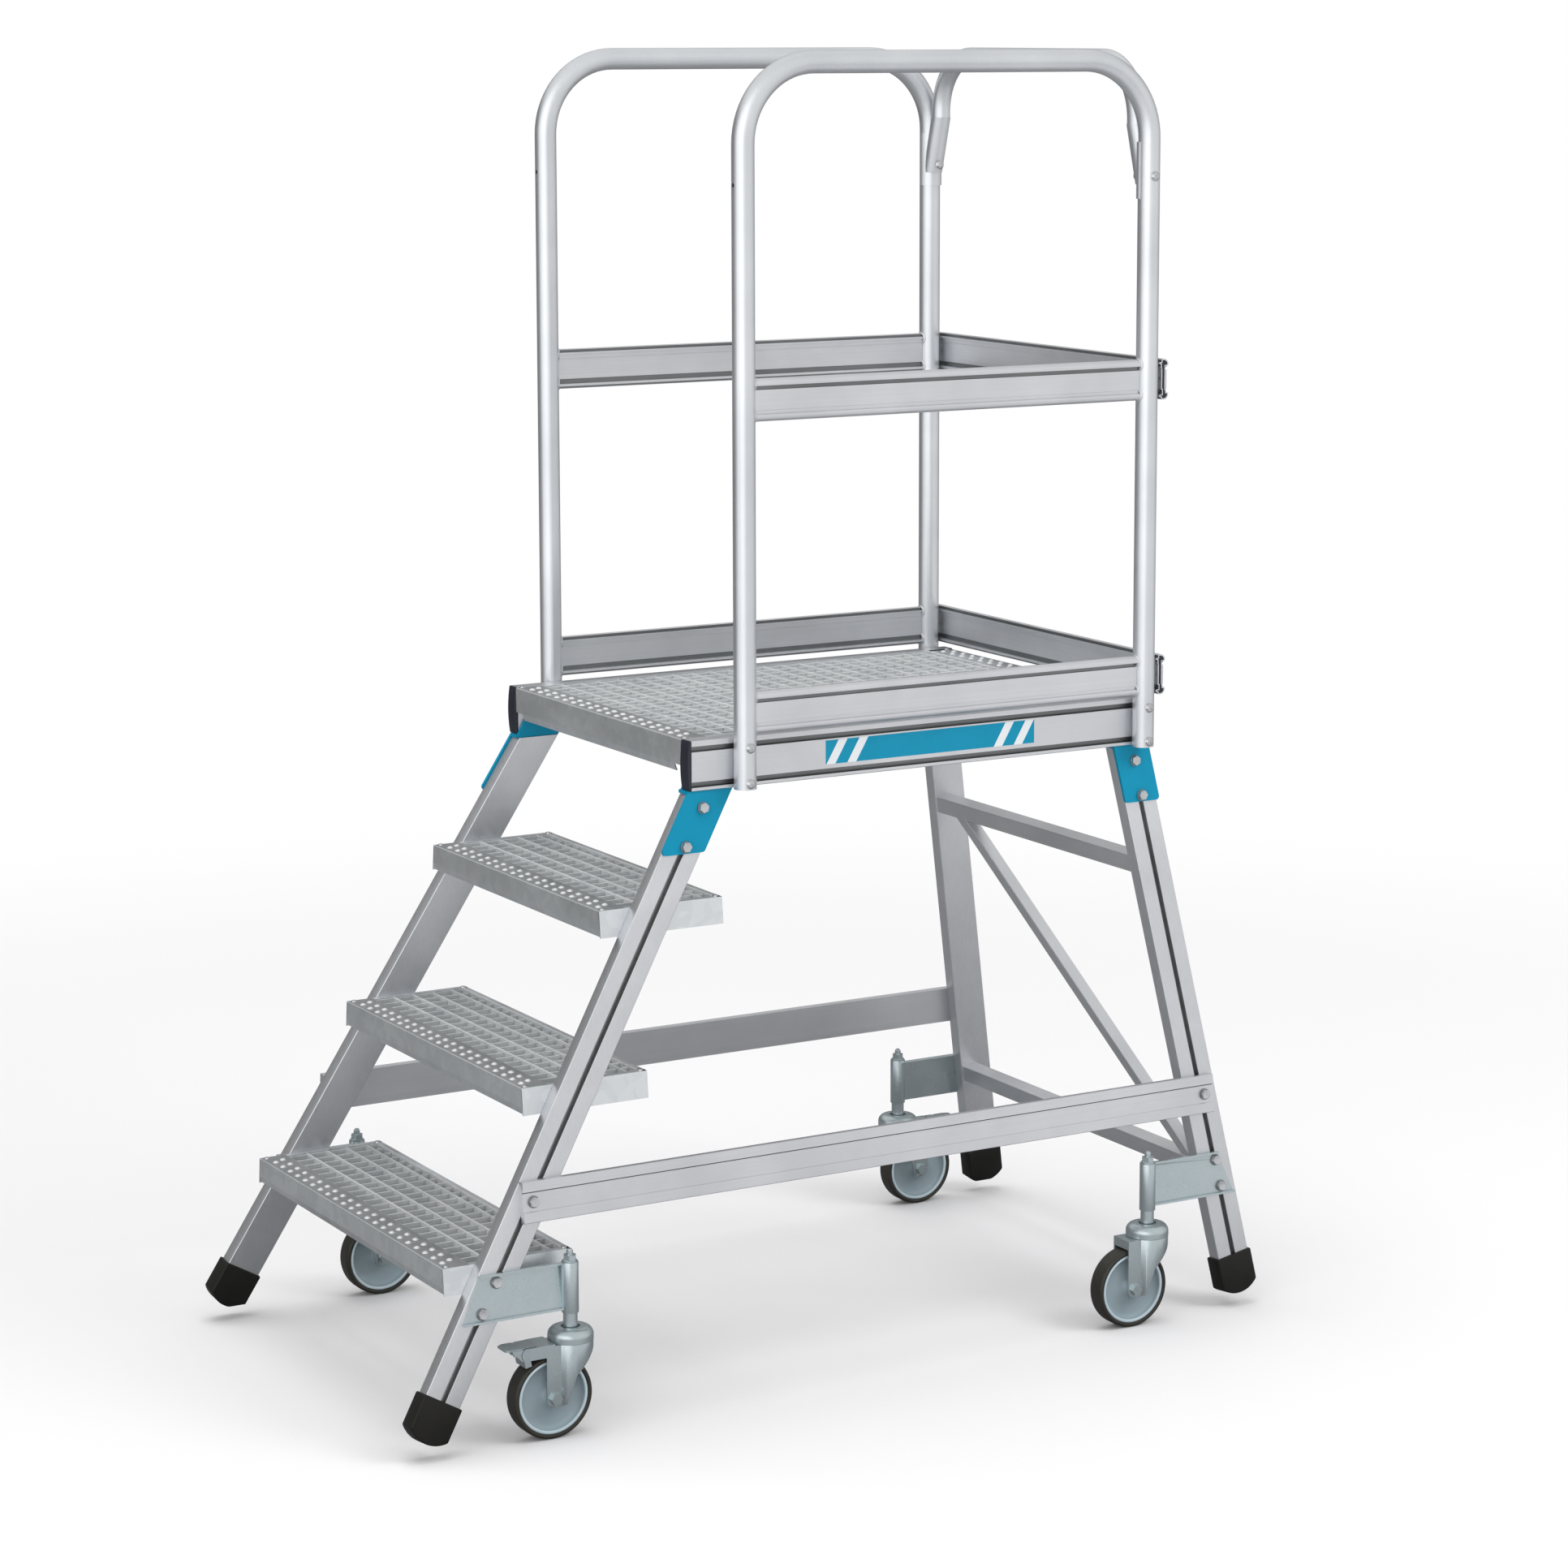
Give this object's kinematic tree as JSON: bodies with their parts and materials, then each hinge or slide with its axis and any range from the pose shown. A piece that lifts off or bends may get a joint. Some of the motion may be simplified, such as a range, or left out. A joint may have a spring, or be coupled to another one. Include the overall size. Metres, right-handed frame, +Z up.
{
  "type": "mobile platform steps",
  "caption": "Mobile aluminium platform steps with grating treads, a guarded deck, rubber feet and spring-loaded swivel castors, some braked.",
  "frame": {"origin": "on the floor, at the middle of the footprint", "axes": "+Z up, -X the stair side, +Y the climber's left"},
  "size_m": [1.4738, 0.8198, 1.98],
  "materials": {
    "alloy": "satin mill finish",
    "galvanised": "hot-dip zinc",
    "zinc": "bright zinc plate",
    "blue_paint": "powder coat",
    "printed_strip": "printed film",
    "dark_plastic": "matt",
    "foot_rubber": "matt",
    "wheel_plastic": "satin",
    "tyre_rubber": "matt"
  },
  "bodies": {
    "frame": {"front_stile_right": "alloy", "front_stile_left": "alloy", "rear_stile_right": "alloy", "rear_stile_left": "alloy", "deck_side_right": "alloy", "deck_side_left": "alloy", "guard_right": "alloy", "guard_left": "alloy", "mid_rails": "alloy", "toe_boards": "alloy", "rear_guard": "alloy", "rear_mid_rail": "alloy", "rear_toe_board": "alloy", "stringer_right": "alloy", "stringer_left": "alloy", "cross_tube_upper": "alloy", "cross_tube_lower": "alloy", "diagonal_brace": "alloy", "tread_lower": "galvanised", "tread_middle": "galvanised", "tread_upper": "galvanised", "deck_grating": "galvanised", "rubber_feet": "foot_rubber", "deck_end_caps": "dark_plastic", "rail_end_plugs": "dark_plastic", "side_labels": "printed_strip", "front_brackets": "blue_paint", "rear_brackets": "blue_paint", "hex_bolts": "zinc", "button_bolts": "zinc", "front_right_housing": "zinc", "front_right_spring": "zinc", "front_left_housing": "zinc", "front_left_spring": "zinc", "rear_right_housing": "zinc", "rear_right_spring": "zinc", "rear_left_housing": "zinc", "rear_left_spring": "zinc"},
    "front_right_stem": {"front_right_plunger": "zinc"},
    "front_right_swivel": {"front_right_fork": "zinc", "front_right_axle": "zinc"},
    "front_right_roll": {"front_right_wheel": "wheel_plastic", "front_right_tyre": "tyre_rubber"},
    "front_right_brake": {"front_right_pedal": "zinc"},
    "front_left_stem": {"front_left_plunger": "zinc"},
    "front_left_swivel": {"front_left_fork": "zinc", "front_left_axle": "zinc"},
    "front_left_roll": {"front_left_wheel": "wheel_plastic", "front_left_tyre": "tyre_rubber"},
    "rear_right_stem": {"rear_right_plunger": "zinc"},
    "rear_right_swivel": {"rear_right_fork": "zinc", "rear_right_axle": "zinc"},
    "rear_right_roll": {"rear_right_wheel": "wheel_plastic", "rear_right_tyre": "tyre_rubber"},
    "rear_left_stem": {"rear_left_plunger": "zinc"},
    "rear_left_swivel": {"rear_left_fork": "zinc", "rear_left_axle": "zinc"},
    "rear_left_roll": {"rear_left_wheel": "wheel_plastic", "rear_left_tyre": "tyre_rubber"},
    "rear_left_brake": {"rear_left_pedal": "zinc"}
  },
  "joints": [
    {"name": "front_right_spring_slide", "type": "slide", "parent": "frame", "child": "front_right_stem", "axis": [0, 0, 1], "range_m": [0, 0.022], "stiffness_N_per_m": 8000, "springref_m": -0.025, "deforming": ["front_right_spring"]},
    {"name": "front_right_swivel_turn", "type": "hinge", "parent": "front_right_stem", "child": "front_right_swivel", "pos_m": [-0.47796, -0.37635, 0.1365], "axis": [0, 0, 1], "continuous": true},
    {"name": "front_right_wheel_roll", "type": "hinge", "parent": "front_right_swivel", "child": "front_right_roll", "pos_m": [-0.51297, -0.37635, 0.0625], "axis": [0, 1, 0], "continuous": true},
    {"name": "front_right_brake_press", "type": "hinge", "parent": "front_right_swivel", "child": "front_right_brake", "pos_m": [-0.55697, -0.37635, 0.134], "axis": [0, -1, 0], "range_deg": [0, 20]},
    {"name": "front_left_spring_slide", "type": "slide", "parent": "frame", "child": "front_left_stem", "axis": [0, 0, 1], "range_m": [0, 0.022], "stiffness_N_per_m": 8000, "springref_m": -0.025, "deforming": ["front_left_spring"]},
    {"name": "front_left_swivel_turn", "type": "hinge", "parent": "front_left_stem", "child": "front_left_swivel", "pos_m": [-0.47796, 0.37635, 0.1365], "axis": [0, 0, 1], "continuous": true},
    {"name": "front_left_wheel_roll", "type": "hinge", "parent": "front_left_swivel", "child": "front_left_roll", "pos_m": [-0.44296, 0.37635, 0.0625], "axis": [0, 1, 0], "continuous": true},
    {"name": "rear_right_spring_slide", "type": "slide", "parent": "frame", "child": "rear_right_stem", "axis": [0, 0, 1], "range_m": [0, 0.022], "stiffness_N_per_m": 8000, "springref_m": -0.025, "deforming": ["rear_right_spring"]},
    {"name": "rear_right_swivel_turn", "type": "hinge", "parent": "rear_right_stem", "child": "rear_right_swivel", "pos_m": [0.53248, -0.37635, 0.1365], "axis": [0, 0, 1], "continuous": true},
    {"name": "rear_right_wheel_roll", "type": "hinge", "parent": "rear_right_swivel", "child": "rear_right_roll", "pos_m": [0.49748, -0.37635, 0.0625], "axis": [0, 1, 0], "continuous": true},
    {"name": "rear_left_spring_slide", "type": "slide", "parent": "frame", "child": "rear_left_stem", "axis": [0, 0, 1], "range_m": [0, 0.022], "stiffness_N_per_m": 8000, "springref_m": -0.025, "deforming": ["rear_left_spring"]},
    {"name": "rear_left_swivel_turn", "type": "hinge", "parent": "rear_left_stem", "child": "rear_left_swivel", "pos_m": [0.53248, 0.37635, 0.1365], "axis": [0, 0, 1], "continuous": true},
    {"name": "rear_left_wheel_roll", "type": "hinge", "parent": "rear_left_swivel", "child": "rear_left_roll", "pos_m": [0.56748, 0.37635, 0.0625], "axis": [0, 1, 0], "continuous": true},
    {"name": "rear_left_brake_press", "type": "hinge", "parent": "rear_left_swivel", "child": "rear_left_brake", "pos_m": [0.61148, 0.37635, 0.134], "axis": [0, 1, 0], "range_deg": [0, 20]}
  ]
}
